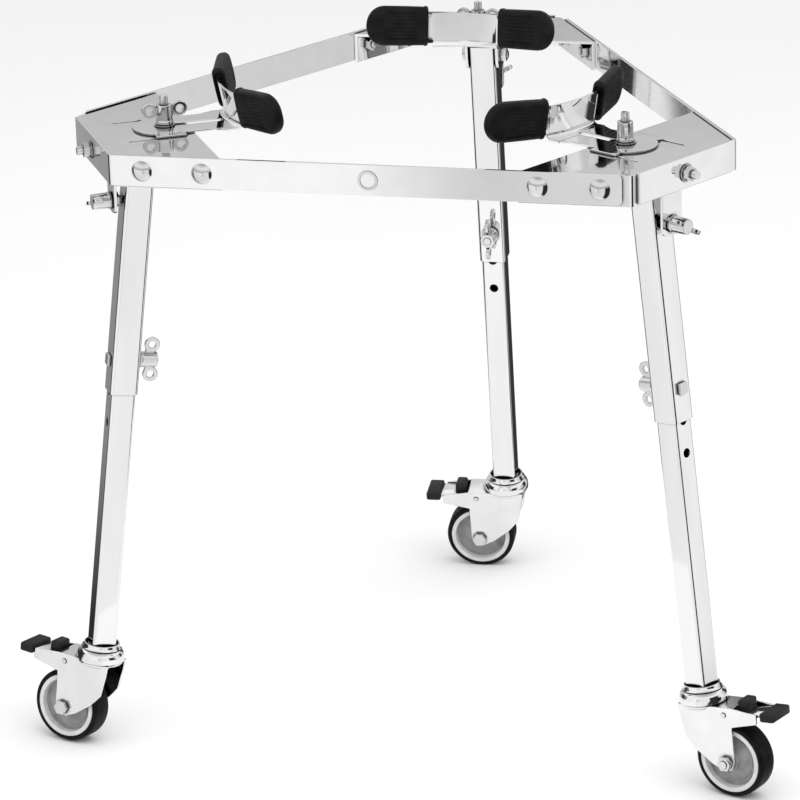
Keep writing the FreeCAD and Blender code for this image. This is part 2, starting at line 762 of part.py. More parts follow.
def cradle_caps(name, azimuth):
    """The rubber cap over each arm, round at its far end, hollow where the arm goes in."""
    caps = []
    for side in (-1, 1):
        body = new_body("cap")
        low = shift("strap_thick/2", f"{side}*(cap_start + cap_length/2)", "cap_low")
        block(body, "Additive", low, "cap_thick", "cap_length", "cap_height")
        middle = size_of("cap_start + cap_length/2")

        def tip(edge):
            return runs_along(edge, "x") and side * edge.Vertexes[0].Point.y > middle

        fillet(body, "cap_height/2 - 0.5", tip)
        fillet(body, 4.5, lambda edge: True)
        block(body, "Subtractive", arm_foot(side), "strap_thick", "arm_length", "arm_height")
        body.Placement = corner_frame(azimuth) * arm_frame(side)
        caps.append(body)
    return grouped("cradle_caps_" + name, caps)


# Casters, each made in its caster frame.

def caster_cup(name, azimuth, swivel):
    """The plug in the inner tube, the domed cup and the kingpin that the fork turns on."""
    body = new_body("caster_cup_" + name)
    profile = outline(sketch_on(body, "XZ_Plane"), [
        ("0", "0"),
        ("14", "0"),
        ("14", "-3"),
        ("cup_radius", "-3"),
        ("cup_radius", "-cup_height"),
        ("0", "-cup_height"),
    ])
    revolve(body, profile)
    rim = size_of("cup_radius") - 0.01

    def shoulder(edge):
        point = edge.Vertexes[0].Point
        return math.hypot(point.x, point.y) > rim and abs(point.z + 3) < 0.01

    fillet(body, 9, shoulder)
    block(body, "Additive", shift(), "inner_bore - 0.3", "inner_bore - 4", 28)
    block(body, "Additive", shift(), "inner_bore - 4", "inner_bore - 0.3", 28)
    kingpin_end = shift(0, 0, "-cup_height - 7")
    rod(body, "Additive", kingpin_end, "kingpin", 8)
    rod(body, "Additive", kingpin_end, "kingpin_flange", 3)
    body.Placement = foot_frame(azimuth, swivel)
    return finish(body, "caster_cup_" + name)


def caster_fork(name, azimuth, swivel):
    """Two cheeks under a round top, drawn out over the wheel to carry the pedal."""
    body = new_body("caster_fork_" + name)
    top = "(-cup_height - fork_gap)"
    under = f"({top} - fork_wall)"
    width = "(fork_inside + 2*fork_wall)"
    sketch = outline(sketch_on(body, "XZ_Plane"), [
        ("-cup_radius + 4", top),
        ("wheel_trail + 10", top),
        ("wheel_trail + 39", f"{top} - 4"),
        ("wheel_trail + 39", f"{top} - 14"),
        ("wheel_trail + 10", f"{top} - 20"),
        ("wheel_trail + 9", "-wheel_drop"),
        ("wheel_trail + 5", "-wheel_drop - 8"),
        ("wheel_trail - 4", "-wheel_drop - 9"),
        ("wheel_trail - 16", "-wheel_drop - 3"),
        ("-4", "-wheel_drop + 11"),
        ("-14", "-wheel_drop + 23"),
        ("-18", f"{top} - 13"),
    ])
    pad(body, sketch, width, midplane=True)
    rod(body, "Additive", shift(0, 0, under), "cup_radius - 1.5", "fork_wall")
    room = shift("wheel_trail", 0, "-wheel_drop - 20")
    block(body, "Subtractive", room, 130, "fork_inside", f"{under} + wheel_drop + 20")
    window = shift("wheel_trail + 42", 0, f"{under} - 1")
    block(body, "Subtractive", window, 60, "fork_inside", "fork_wall + 2")
    kingpin_hole = shift(0, 0, f"{under} - 1")
    rod(body, "Subtractive", kingpin_hole, "kingpin + running_gap", "fork_wall + 2")
    for pin_x, pin_z, radius in (("wheel_trail", "-wheel_drop", "bolt_radius"),
                                 ("wheel_trail + 2", "-pedal_drop", "pedal_pin")):
        line = shift(pin_x, f"{width}/2 + 1", pin_z) * turn("x", 90)
        rod(body, "Subtractive", line, radius, f"{width} + 2")
    body.Placement = caster_frame(azimuth, swivel)
    return finish(body, "caster_fork_" + name)


def fork_pins(name, azimuth, swivel):
    """The axle bolt with its nut, and the pedal's pin."""
    frame = caster_frame(azimuth, swivel)
    width = "(fork_inside + 2*fork_wall)"
    axle_line = frame * shift("wheel_trail", f"{width}/2", "-wheel_drop") * turn("x", 90)
    axle = hex_bolt(axle_line, f"{width} + 8")
    nut = hex_nut(axle_line * shift(0, 0, width))
    pin = new_body("pedal_pin")
    rod(pin, "Additive", shift(0, 0, -1), "pedal_pin", f"{width} + 2")
    pin.Placement = frame * shift("wheel_trail + 2", f"{width}/2", "-pedal_drop") * turn("x", 90)
    return grouped("fork_pins_" + name, [axle, nut, pin])


def brake_pedal(name, azimuth, swivel):
    """A lever on a pin between the cheeks, with a tread outside and a release tab on top."""
    body = new_body("brake_pedal_" + name)
    pin_x = "(wheel_trail + 2)"
    inside = "(fork_inside - 1)"
    line = shift(pin_x, f"{inside}/2", "-pedal_drop") * turn("x", 90)
    rod(body, "Additive", line, 4, inside)
    arm_end = "(pedal_reach - tread_length + 2)"
    arm = shift(f"({pin_x} + {arm_end})/2", 0, "-pedal_drop")
    block(body, "Additive", arm, f"{arm_end} - {pin_x}", inside, 3)
    tread = shift("pedal_reach - tread_length/2", 0, "-pedal_drop - 4")
    block(body, "Additive", tread, "tread_length", "tread_width", "tread_height")
    tab = shift("wheel_trail + 20", 0, "-pedal_drop")
    block(body, "Additive", tab, 12, 20, "tab_height")
    tip = size_of("pedal_reach") - 0.01
    tab_top = size_of("tab_height - pedal_drop") - 0.01

    def outer_edge(edge):
        points = [vertex.Point for vertex in edge.Vertexes]
        return min(point.x for point in points) > tip or min(point.z for point in points) > tab_top

    fillet(body, 2.5, outer_edge)
    rod(body, "Subtractive", line, "pedal_pin + running_gap", inside)
    body.Placement = caster_frame(azimuth, swivel)
    return finish(body, "brake_pedal_" + name)


def wheel(name, azimuth, swivel):
    """The hub with its web and rim, and the tyre on it."""
    place = caster_frame(azimuth, swivel) * shift("wheel_trail", 0, "-wheel_drop") * turn("x", 90)
    hub = new_body("wheel_hub_" + name)
    hub_profile = outline(sketch_on(hub, "XZ_Plane"), [
        ("bolt_radius + running_gap", "-13.8"),
        ("10", "-13.8"),
        ("10", "-4"),
        ("rim_radius - 4", "-4"),
        ("rim_radius - 3", "-wheel_width/2 + 1"),
        ("rim_radius", "-wheel_width/2 + 1"),
        ("rim_radius", "wheel_width/2 - 1"),
        ("rim_radius - 3", "wheel_width/2 - 1"),
        ("rim_radius - 4", "4"),
        ("10", "4"),
        ("10", "13.8"),
        ("bolt_radius + running_gap", "13.8"),
    ])
    revolve(hub, hub_profile)
    hub.Placement = place
    finish(hub, "wheel_hub_" + name)
    tyre = new_body("wheel_tyre_" + name)
    tyre_profile = outline(sketch_on(tyre, "XZ_Plane"), [
        ("rim_radius", "-wheel_width/2"),
        ("wheel_radius", "-wheel_width/2"),
        ("wheel_radius", "wheel_width/2"),
        ("rim_radius", "wheel_width/2"),
    ])
    revolve(tyre, tyre_profile)
    tread = size_of("wheel_radius") - 0.01

    def shoulder(edge):
        point = edge.Vertexes[0].Point
        return math.hypot(point.x, point.y) > tread

    fillet(tyre, 3, shoulder)
    tyre.Placement = place
    finish(tyre, "wheel_tyre_" + name)


def corner_parts(name, azimuth, swivel):
    """Everything that stands at one corner."""
    corner = corner_frame(azimuth)
    frame_bar(name, azimuth)
    corner_plate(name, azimuth)
    leg_bracket(name, azimuth)
    lock_screw(name, azimuth)
    leg_sleeve(name, azimuth)
    inner_tube(name, azimuth, swivel)
    clamp_screw(name, azimuth)
    clamp = leg_frame(azimuth) * shift("-sleeve_side/2 - 0.4", 0, "clamp_up - sleeve_below")
    wing_nut("clamp_nut_" + name, clamp * turn("y", -90), 0)
    cradle(name, azimuth)
    cradle_caps(name, azimuth)
    above_strap = shift("stud_reach", 0, f"{PLATE_TOP} + strap_thick + 2.3")
    wing_nut("cradle_nut_" + name, corner * above_strap, NUT_ROLLS[name])
    caster_cup(name, azimuth, swivel)
    caster_fork(name, azimuth, swivel)
    fork_pins(name, azimuth, swivel)
    brake_pedal(name, azimuth, swivel)
    wheel(name, azimuth, swivel)


def write_parts():
    DOC.recompute()
    failed = [item.Label for item in DOC.Objects
              if any(state in ("Invalid", "Error") for state in item.State)]
    if failed:
        raise RuntimeError(f"not rebuilt: {failed}")
    for item in SUBPARTS:
        if item.Shape.isNull() or not item.Shape.isValid():
            raise RuntimeError(f"no sound shape: {item.Label}")
    os.makedirs("parts", exist_ok=True)
    for item in SUBPARTS:
        item.Shape.exportStep(f"parts/{item.Label}.step")
    print(len(SUBPARTS), "sub-parts")


fill_sheet()
for corner_name, corner_azimuth, corner_swivel in CORNERS:
    corner_parts(corner_name, corner_azimuth, corner_swivel)
frame_fasteners()
badge_ring()
write_parts()
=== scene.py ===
"""The looks of a chromed rolling stand for a conga drum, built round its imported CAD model."""

import json
import math

import bmesh
import bpy
from mathutils import Matrix, Vector

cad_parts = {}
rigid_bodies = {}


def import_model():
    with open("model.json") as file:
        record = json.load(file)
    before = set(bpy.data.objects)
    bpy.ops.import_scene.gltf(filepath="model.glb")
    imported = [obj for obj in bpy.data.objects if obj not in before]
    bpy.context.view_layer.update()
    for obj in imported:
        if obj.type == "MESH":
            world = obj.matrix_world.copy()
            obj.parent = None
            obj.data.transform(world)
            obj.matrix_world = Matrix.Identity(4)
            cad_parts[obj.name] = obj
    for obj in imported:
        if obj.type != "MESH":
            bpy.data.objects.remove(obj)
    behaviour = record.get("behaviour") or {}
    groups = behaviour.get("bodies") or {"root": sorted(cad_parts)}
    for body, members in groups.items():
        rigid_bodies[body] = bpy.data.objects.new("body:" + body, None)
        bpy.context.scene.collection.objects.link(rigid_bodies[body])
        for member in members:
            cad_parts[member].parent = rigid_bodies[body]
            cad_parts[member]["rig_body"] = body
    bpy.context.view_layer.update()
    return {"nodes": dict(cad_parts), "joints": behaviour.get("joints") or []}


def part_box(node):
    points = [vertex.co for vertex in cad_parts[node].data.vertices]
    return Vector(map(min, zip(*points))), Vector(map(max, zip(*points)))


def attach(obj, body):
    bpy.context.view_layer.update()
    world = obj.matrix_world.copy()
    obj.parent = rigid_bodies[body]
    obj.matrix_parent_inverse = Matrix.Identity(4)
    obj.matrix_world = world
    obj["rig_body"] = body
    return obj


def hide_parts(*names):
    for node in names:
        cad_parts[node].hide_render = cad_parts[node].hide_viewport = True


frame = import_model()
JOINTS = {joint["name"]: joint for joint in frame["joints"]}
MM = 0.001
CORNERS = ("right", "back", "left")

# Sizes in millimetres that repeat the CAD model's.
STRAP_THICK = 2.5
STUD_REACH = 262.0
STUD_RADIUS = 4.0
CRADLE_REACH = 190.0
CRADLE_WIDTH = 68.5
CRADLE_LEAN = math.radians(11.0)
CRADLE_WRAP = math.radians(21.0)
CAP_LENGTH = 63.5
CAP_HEIGHT = 41.0
CAP_THICK = 13.5
CAP_START = 4.0
CAP_LOW = 3.0
RIM_RADIUS = 31.0
WHEEL_RADIUS = 37.5
WHEEL_HALF = 12.5


# Frames. Each has its origin in metres and is used with points in millimetres.

def axes_at(origin, z_axis, x_hint):
    """A frame with its Z along z_axis and its X as near to x_hint as that allows."""
    z = Vector(z_axis).normalized()
    hint = Vector(x_hint)
    x = (hint - z * z.dot(hint)).normalized()
    facing = Matrix((x, z.cross(x), z)).transposed().to_4x4()
    return Matrix.Translation(Vector(origin)) @ facing


def along(place, x=0.0, y=0.0, z=0.0):
    return place @ Matrix.Translation(Vector((x, y, z)) * MM)


def turned(place, axis, angle):
    return place @ Matrix.Rotation(angle, 4, axis)


def corner_frame(name):
    """Under the corner at floor level, +X outward and +Z up."""
    return axes_at((0, 0, 0), (0, 0, 1), JOINTS[f"cradle_slide_{name}"]["axis"])


def caster_frame(name):
    """At the bottom of the inner tube, +Y along the wheel's axle, the wheel on the +X side."""
    swivel = JOINTS[f"caster_swivel_{name}"]
    spin = Vector(JOINTS[f"wheel_spin_{name}"]["axis"])
    up = Vector(swivel["axis"])
    return axes_at(swivel["pos_m"], up, spin.cross(up))


def wheel_frame(name):
    """At the middle of the wheel, +Z along its axle."""
    spin = JOINTS[f"wheel_spin_{name}"]
    return axes_at(spin["pos_m"], spin["axis"], (0, 0, 1))


def plate_top():
    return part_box("corner_plate_back")[1].z / MM


# Making pieces.

# Edges of the CAD model that bend by more degrees than this are rounded.
SHARP_EDGE = 28.0
BEVEL_SEGMENTS = 2
# The grain in millimetres that castings are remade in, and how often they are smoothed.
CAST_GRAIN = 0.4
CAST_ROUNDS = 5
# Points round a turned piece.
LATHE_STEPS = 96
THREAD_PITCH = 1.25
THREAD_DEPTH = 0.55
THREAD_CHAMFER = 0.7


def linked(name, data):
    """A new object in the scene."""
    obj = bpy.data.objects.new(name, data)
    bpy.context.scene.collection.objects.link(obj)
    return obj


def finished(obj, body, material, replaced=()):
    """Gives a new piece its body and material, and hides the CAD nodes that it stands for."""
    obj.data.materials.clear()
    obj.data.materials.append(material)
    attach(obj, body)
    if replaced:
        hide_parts(*replaced)
    return obj


def object_of(name, form, crease=35.0):
    """An object from a bmesh, smooth except at edges sharper than crease degrees."""
    bmesh.ops.recalc_face_normals(form, faces=form.faces)
    mesh = bpy.data.meshes.new(name)
    form.to_mesh(mesh)
    form.free()
    mesh.shade_smooth()
    mesh.set_sharp_from_angle(angle=math.radians(crease))
    return linked(name, mesh)


def welded(node):
    """A bmesh of a CAD node with its split corners joined and its flat faces whole."""
    form = bmesh.new()
    form.from_mesh(frame["nodes"][node].data)
    bmesh.ops.remove_doubles(form, verts=form.verts, dist=2e-6)
    bmesh.ops.dissolve_limit(form, angle_limit=math.radians(0.4), verts=form.verts,
                             edges=form.edges, delimit={"NORMAL"})
    return form


def softened(node, width, material):
    """A copy of a CAD node with its sharp edges rounded by width millimetres."""
    form = welded(node)
    limit = math.radians(SHARP_EDGE)
    edges = [e for e in form.edges if e.is_manifold and e.calc_face_angle() > limit]
    bmesh.ops.bevel(form, geom=edges, offset=width * MM, segments=BEVEL_SEGMENTS, profile=0.6,
                    affect="EDGES", clamp_overlap=False)
    obj = object_of(node + "_soft", form)
    weighted = obj.modifiers.new("weighted", "WEIGHTED_NORMAL")
    weighted.keep_sharp = True
    return finished(obj, frame["nodes"][node]["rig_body"], material, [node])


def cast(node, material):
    """A copy of a CAD node with its edges melted as on a casting."""
    form = welded(node)
    obj = object_of(node + "_cast", form)
    remesh = obj.modifiers.new("remesh", "REMESH")
    remesh.mode = "VOXEL"
    remesh.voxel_size = CAST_GRAIN * MM
    smooth = obj.modifiers.new("smooth", "SMOOTH")
    smooth.factor = 0.5
    smooth.iterations = CAST_ROUNDS
    bpy.context.view_layer.update()
    shaped = obj.evaluated_get(bpy.context.evaluated_depsgraph_get())
    mesh = bpy.data.meshes.new_from_object(shaped)
    obj.modifiers.clear()
    obj.data = mesh
    mesh.shade_smooth()
    return finished(obj, frame["nodes"][node]["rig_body"], material, [node])


def add_grid(form, place, rows, closed=True):
    """Joins rows of points, each a closed ring, into a torus, or a tube with filled ends."""
    rings = [[form.verts.new(place @ (Vector(p) * MM)) for p in row] for row in rows]
    count = len(rings[0])
    pairs = list(zip(rings, rings[1:]))
    if closed:
        pairs.append((rings[-1], rings[0]))
    for low, high in pairs:
        for i in range(count):
            j = (i + 1) % count
            form.faces.new((low[i], low[j], high[j], high[i]))
    if not closed:
        form.faces.new(rings[0][::-1])
        form.faces.new(rings[-1])
    return form


def circle(radius, height, steps=LATHE_STEPS):
    """Points round +Z."""
    angles = [2 * math.pi * i / steps for i in range(steps)]
    return [(radius * math.cos(angle), radius * math.sin(angle), height) for angle in angles]


def add_lathe(form, place, profile):
    """A closed profile of (radius, height) pairs turned round +Z."""
    return add_grid(form, place, [circle(radius, height) for radius, height in profile])


def add_thread(form, place, radius, start, end):
    """A screw thread round +Z: a helical ridge on a rod, with a chamfered end."""
    steps = 28
    per_turn = 8
    steepness = 1.35
    count = int((end - start) / THREAD_PITCH * per_turn)
    rows = []
    for k in range(count + 1):
        height = start + (end - start) * k / count
        chamfer = max(0.0, 1.0 - (end - height)) * THREAD_CHAMFER
        row = []
        for i in range(steps):
            phase = (height / THREAD_PITCH - i / steps) % 1.0
            ridge = min(1.0, steepness * (1.0 - abs(2.0 * phase - 1.0)))
            r = radius - THREAD_DEPTH + THREAD_DEPTH * ridge - chamfer
            angle = 2 * math.pi * i / steps
            row.append((r * math.cos(angle), r * math.sin(angle), height))
        rows.append(row)
    return add_grid(form, place, rows, closed=False)


def add_block(form, place, low, high, radius, segments=3):
    """A block between two corners with its edges rounded."""
    low, high = Vector(low), Vector(high)
    made = bmesh.ops.create_cube(form, size=1.0)
    size = Matrix.Diagonal((*(high - low), 1.0))
    centre = Matrix.Translation((low + high) / 2)
    bmesh.ops.transform(form, matrix=centre @ size, verts=made["verts"])
    edges = list({e for v in made["verts"] for e in v.link_edges})
    rounded = bmesh.ops.bevel(form, geom=edges, offset=radius, segments=segments, profile=0.5,
                              affect="EDGES", clamp_overlap=True)
    verts = {v for f in rounded["faces"] for v in f.verts}
    verts |= {v for v in made["verts"] if v.is_valid}
    bmesh.ops.transform(form, matrix=place @ Matrix.Scale(MM, 4), verts=list(verts))
    return form


# Materials.

# How far the painted shade of a seam reaches over the plating beside it, in metres, and its colour.
SEAM_SHADE_WIDTH = 0.006
SEAM_SHADE_COLOUR = (0.02, 0.02, 0.022, 1.0)
# The share of open sky at which the painted seam shade is darkest, and at which it ends.
SEAM_SHADE_DARKEST, SEAM_SHADE_END = 0.46, 0.86
# Noises, in features to the metre.
HAZE_SCALE = 38.0
POLISH_SCALE = 420.0
WAVE_SCALE = 16.0
MOTTLE_SCALE = 90.0
# Bumps, each a depth in metres and a strength. A sheet's waves are as deep as its finish says.
POLISH_BUMP = (0.00001, 0.06)
GRAIN_BUMP = (0.00005, 0.5)
MOTTLE_BUMP = (0.0001, 0.12)
WAVE_STRENGTH = 0.35
# How many times rougher plating is where it is least polished.
HAZE_ROUGHNESS = 2.2
# The Pointiness at which the paler edges, part dust and part painted sheen, start and are full.
DUST_SHEEN_START, DUST_SHEEN_FULL = 0.52, 0.62


def shader(name):
    material = bpy.data.materials.new(name)
    material.use_nodes = True
    tree = material.node_tree
    return material, tree, tree.nodes["Principled BSDF"]


def add_node(tree, kind, inputs=None, **settings):
    made = tree.nodes.new(kind)
    for key, value in settings.items():
        setattr(made, key, value)
    for key, value in (inputs or {}).items():
        made.inputs[key].default_value = value
    return made


def noise_of(tree, scale, detail, stretch=(1, 1, 1)):
    """A noise on the object's own coordinates, in metres, stretched along its axes."""
    where = add_node(tree, "ShaderNodeTexCoord")
    mapping = add_node(tree, "ShaderNodeMapping", {"Scale": stretch})
    noise = add_node(tree, "ShaderNodeTexNoise",
                     {"Scale": scale, "Detail": detail, "Roughness": 0.5})
    tree.links.new(where.outputs["Object"], mapping.inputs["Vector"])
    tree.links.new(mapping.outputs["Vector"], noise.inputs["Vector"])
    return noise.outputs["Fac"]


def spread(tree, value, low, high, start=0.3, stop=0.7):
    """The value's usual span from start to stop, mapped to low to high."""
    ramp = add_node(tree, "ShaderNodeMapRange", {"From Min": start, "From Max": stop,
                                                 "To Min": low, "To Max": high})
    tree.links.new(value, ramp.inputs["Value"])
    return ramp.outputs["Result"]


def blended(tree, value, first, second):
    """A colour between the first and the second, as the value goes over its usual span."""
    mix = add_node(tree, "ShaderNodeMix", data_type="RGBA")
    mix.inputs["A"].default_value = (*first, 1.0)
    mix.inputs["B"].default_value = (*second, 1.0)
    tree.links.new(spread(tree, value, 0.0, 1.0), mix.inputs["Factor"])
    return mix.outputs["Result"]


def bumped(tree, bsdf, layers):
    """Stacks bumps, each a height with its depth in metres and its strength."""
    before = None
    for height, depth, strength in layers:
        bump = add_node(tree, "ShaderNodeBump", {"Distance": depth, "Strength": strength})
        tree.links.new(height, bump.inputs["Height"])
        if before is not None:
            tree.links.new(before, bump.inputs["Normal"])
        before = bump.outputs["Normal"]
    tree.links.new(before, bsdf.inputs["Normal"])


def chrome(name, dark, light, rough, wave=0.00012, streak=(1, 1, 1)):
    """Bright plating: slightly wavy, with faint polishing haze and painted shade in the seams
    between pieces.
    """
    material, tree, bsdf = shader(name)
    bsdf.inputs["Metallic"].default_value = 1.0
    haze = noise_of(tree, HAZE_SCALE, 4.0, streak)
    # Painted shade: ambient occlusion darkens the base colour where pieces meet, standing in for
    # the shade in their seams.
    occlusion = add_node(tree, "ShaderNodeAmbientOcclusion", {"Distance": SEAM_SHADE_WIDTH}, samples=8)
    seam_shade = add_node(tree, "ShaderNodeMix", data_type="RGBA")
    seam_shade.inputs["A"].default_value = SEAM_SHADE_COLOUR
    openness = spread(tree, occlusion.outputs["AO"], 0.0, 1.0, SEAM_SHADE_DARKEST, SEAM_SHADE_END)
    tree.links.new(openness, seam_shade.inputs["Factor"])
    tree.links.new(blended(tree, haze, dark, light), seam_shade.inputs["B"])
    tree.links.new(seam_shade.outputs["Result"], bsdf.inputs["Base Color"])
    polish = noise_of(tree, POLISH_SCALE, 2.0, streak)
    tree.links.new(spread(tree, polish, rough, rough * HAZE_ROUGHNESS), bsdf.inputs["Roughness"])
    sheet = noise_of(tree, WAVE_SCALE, 1.0)
    bumped(tree, bsdf, [(sheet, wave, WAVE_STRENGTH), (polish, *POLISH_BUMP)])
    return material


def moulded(name, dark, light, rough, grain=1400.0, dust_and_sheen=None, shine=0.12):
    """Rubber or plastic out of a mould: fine grain, slight mottling, paler along its edges with
    dust and a painted sheen.
    """
    material, tree, bsdf = shader(name)
    mottle = noise_of(tree, MOTTLE_SCALE, 4.0)
    colour = blended(tree, mottle, dark, light)
    if dust_and_sheen:
        # Paler edges: partly dust, partly a painted sheen where the edges would catch the light.
        geometry = add_node(tree, "ShaderNodeNewGeometry")
        edges = spread(tree, geometry.outputs["Pointiness"], 0.0, 1.0, DUST_SHEEN_START, DUST_SHEEN_FULL)
        mix = add_node(tree, "ShaderNodeMix", data_type="RGBA")
        mix.inputs["B"].default_value = (*dust_and_sheen, 1.0)
        tree.links.new(edges, mix.inputs["Factor"])
        tree.links.new(colour, mix.inputs["A"])
        colour = mix.outputs["Result"]
    tree.links.new(colour, bsdf.inputs["Base Color"])
    skin = noise_of(tree, grain, 3.0)
    tree.links.new(spread(tree, skin, rough - 0.08, rough + 0.1), bsdf.inputs["Roughness"])
    bumped(tree, bsdf, [(skin, *GRAIN_BUMP), (mottle, *MOTTLE_BUMP)])
    bsdf.inputs["Specular IOR Level"].default_value = shine
    return material


CHROME_BAR = chrome("chrome_bar", (0.81, 0.81, 0.815), (0.86, 0.86, 0.865), rough=0.03)
CHROME_PLATE = chrome("chrome_plate", (0.79, 0.79, 0.80), (0.85, 0.85, 0.855), rough=0.025,
                      wave=0.00016)
CHROME_TUBE = chrome("chrome_tube", (0.80, 0.80, 0.81), (0.86, 0.86, 0.865), rough=0.035,
                     streak=(1, 1, 0.12))
CHROME_FASTENER = chrome("bright_plating", (0.62, 0.62, 0.63), (0.74, 0.74, 0.74), rough=0.05)
CHROME_CASTER = chrome("chrome_pressing", (0.78, 0.78, 0.79), (0.85, 0.85, 0.855), rough=0.045,
                       wave=0.0002)
CAP_RUBBER = moulded("cap_rubber", (0.004, 0.004, 0.0045), (0.010, 0.010, 0.0105), rough=0.42,
                     dust_and_sheen=(0.03, 0.03, 0.031))
TYRE_RUBBER = moulded("tyre_rubber", (0.004, 0.004, 0.0045), (0.010, 0.010, 0.0105), rough=0.5,
                      grain=900.0, shine=0.08)
HUB_PLASTIC = moulded("hub_plastic", (0.22, 0.22, 0.226), (0.36, 0.36, 0.37), rough=0.4,
                      grain=1100.0, shine=0.3)
RIM_PLASTIC = moulded("rim_plastic", (0.62, 0.62, 0.63), (0.74, 0.74, 0.75), rough=0.38,
                      grain=1100.0)
PEDAL_PLASTIC = moulded("pedal_plastic", (0.005, 0.005, 0.0055), (0.012, 0.012, 0.013),
                        rough=0.34, grain=1200.0, dust_and_sheen=(0.04, 0.04, 0.042))


# The metal pieces.

# How far a cradle's upright bows out, in how many flats, and how the bow dies out along the
# neck: it has gone at BOW_END millimetres behind the upright, fading over the last BOW_FADE.
CRADLE_BOW = 5.0
BOW_CUTS = 20
BOW_END = 30.0
BOW_FADE = 18.0

# The pressed and drawn pieces of each corner, with how far their edges are rounded.
CORNER_PIECES = (("frame_bar", 0.45, CHROME_BAR, "chrome_sheet"),
                 ("corner_plate", 0.5, CHROME_PLATE, "chrome_sheet"),
                 ("leg_bracket", 0.5, CHROME_PLATE, "chrome_sheet"),
                 ("cradle", 0.5, CHROME_PLATE, "chrome_sheet"),
                 ("leg_sleeve", 0.45, CHROME_TUBE, "chrome_tube"),
                 ("inner_tube", 0.4, CHROME_TUBE, "chrome_tube"),
                 ("caster_cup", 0.8, CHROME_CASTER, "chrome_caster"),
                 ("caster_fork", 0.9, CHROME_CASTER, "chrome_caster"),
                 ("clamp_screw", 0.5, CHROME_FASTENER, "chrome_fastener"),
                 ("fork_pins", 0.4, CHROME_FASTENER, "chrome_fastener"))
WING_NUTS = ("lock_screw", "clamp_nut", "cradle_nut")
FASTENERS = ("frame_bolts", "hex_nuts", "corner_bolts", "pivot_bolts", "flat_washers",
             "cradle_studs", "lock_nuts", "badge_ring")
FASTENER_EDGE = 0.3


def bowed(cradle, name):
    """Curves a cradle's upright round the drum, its middle set back from its two arms."""
    corner = corner_frame(name)
    to_corner = corner.inverted()
    half = CRADLE_WIDTH / 2
    form = bmesh.new()
    form.from_mesh(cradle.data)
    for k in range(1, BOW_CUTS):
        middle = corner @ (Vector((0, half * (2 * k / BOW_CUTS - 1), 0)) * MM)
        bmesh.ops.bisect_plane(form, geom=list(form.verts) + list(form.edges) + list(form.faces),
                               plane_co=middle, plane_no=corner.col[1].xyz, dist=1e-6)
    for vert in form.verts:
        place = (to_corner @ vert.co) / MM
        across = place.y / half
        fade = min(1.0, max(0.0, (CRADLE_REACH + BOW_END - place.x) / BOW_FADE))
        if abs(across) < 1.0:
            vert.co += corner.col[0].xyz * (CRADLE_BOW * fade * (1.0 - across * across) * MM)
    form.to_mesh(cradle.data)
    form.free()
    cradle.data.set_sharp_from_angle(angle=math.radians(35.0))


def metal_pieces():
    for name in CORNERS:
        for piece, edge, material, slot in CORNER_PIECES:
            made = softened(f"{piece}_{name}", edge, material)
            if piece == "cradle":
                bowed(made, name)
        for piece in WING_NUTS:
            cast(f"{piece}_{name}", CHROME_FASTENER)
    for node in FASTENERS:
        softened(node, FASTENER_EDGE, CHROME_FASTENER)


# The rubber caps. Distances are in millimetres along the arm from the cap's mouth.

# From inside the mouth out over its bead: pairs of distance and share of the full size.
CAP_MOUTH = ((3.5, 0.62), (1.0, 0.70), (0.0, 0.80), (0.0, 0.93), (0.7, 0.985), (2.0, 1.0),
             (3.2, 1.0), (4.0, 0.97))
CAP_BAND = (4.8, 5.4, 6.0, 6.6)
CAP_WAIST = 0.97
# The side of the cap swells from its waist, starting at CAP_SIDE, by this share of the size.
CAP_SIDE = 8.0
CAP_SWELL = 0.03
SWELL_START = 4.0
SWELL_LENGTH = 90.0
SIDE_ROWS = 32
# The tip, whose length is a share of half the height, and how it narrows in height and thins.
TIP_SHARE = 0.98
TIP_POWER = 2.3
TIP_TAPER = 0.12
# The nose, the last stretch of the tip, and how it rounds off.
CAP_NOSE = 15.5
NOSE_ROWS = 14
NOSE_FLARE = 0.1
NOSE_POWER = 0.42
LEAST_THICK = 0.25
LEAST_HEIGHT = 0.5
# The radius of the long edges, and how far the faces fall away towards them.
CAP_EDGE = 5.2
CAP_CROWN = 0.10
# The grooves: the share of the height they cover, their number, depth and narrowness, and
# where along the cap they start, stop and run out.
RIB_BAND = 0.66
RIB_COUNT = 7
RIB_DEPTH = 0.75
RIB_POWER = 0.6
RIB_START = 9.0
RIB_STOP = 4.5
RIB_RUNOUT = 1.6


def cap_ring(half_thick, half_height, ribs):
    """One cross-section of a cap, a rounded oblong, with grooves across its two faces."""
    radius = min(CAP_EDGE, half_thick * 0.85, half_height * 0.9)
    straight_x = half_thick - radius
    straight_z = half_height - radius
    points = []
    face_steps = 84
    corner_steps = 7
    edge_steps = 6
    for x_sign, z_sign in ((1, 1), (-1, 1), (-1, -1), (1, -1)):
        turn = x_sign * z_sign > 0
        arc = []
        for k in range(corner_steps + 1):
            angle = math.pi / 2 * k / corner_steps
            arc.append((x_sign * (straight_x + radius * math.cos(angle)),
                        z_sign * (straight_z + radius * math.sin(angle))))
        arc = arc if turn else arc[::-1]
        points += arc
        start = arc[-1]
        if turn:
            for k in range(1, edge_steps):
                points.append((start[0] * (1 - 2 * k / edge_steps), start[1]))
        else:
            for k in range(1, face_steps):
                points.append((start[0], start[1] * (1 - 2 * k / face_steps)))
    shaped = []
    for x, z in points:
        across = z / half_height
        crown = 1.0 - CAP_CROWN * across * across
        groove = 0.0
        if ribs > 0 and abs(across) < RIB_BAND:
            wave = math.cos(math.pi * RIB_COUNT * across / RIB_BAND)
            groove = RIB_DEPTH * ribs * max(0.0, -wave) ** RIB_POWER
        shaped.append((x * crown - math.copysign(groove, x), z))
    return shaped


